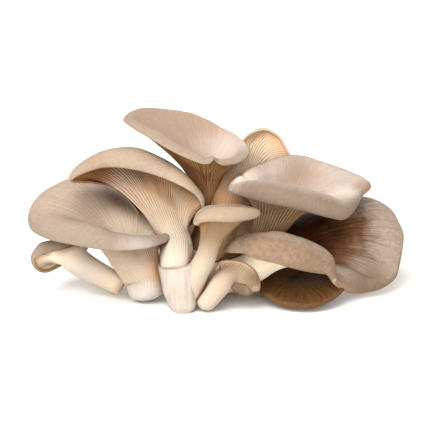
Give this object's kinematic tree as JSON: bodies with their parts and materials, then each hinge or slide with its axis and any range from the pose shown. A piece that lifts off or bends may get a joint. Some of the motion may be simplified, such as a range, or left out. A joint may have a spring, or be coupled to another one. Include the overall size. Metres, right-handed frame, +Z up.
{
  "type": "oyster mushroom cluster",
  "caption": "Cluster of fresh oyster mushrooms: fan and funnel shaped caps with rolled margins and gills that run down stems joined at a cut stump.",
  "frame": {"origin": "middle of the underside of the whole cluster's box, on the table", "axes": "+Z up, -Y towards the front, +X towards the large brown cap"},
  "size_m": [0.1804, 0.097, 0.0844],
  "materials": {
    "pale_cap": "matte, soft and slightly fibrous",
    "cream_cap": "matte, soft",
    "brown_cap": "matte, soft and slightly fibrous",
    "stump_flesh": "matte cut flesh"
  },
  "bodies": {
    "root": {"stump": "stump_flesh", "left_fan": "pale_cap", "left_arched": "pale_cap", "top_funnel": "pale_cap", "right_pale": "pale_cap", "back_low": "pale_cap", "small_left": "pale_cap", "centre_small": "cream_cap", "front_hood": "cream_cap", "back_top": "cream_cap", "right_brown": "brown_cap", "low_brown": "brown_cap"}
  },
  "joints": []
}
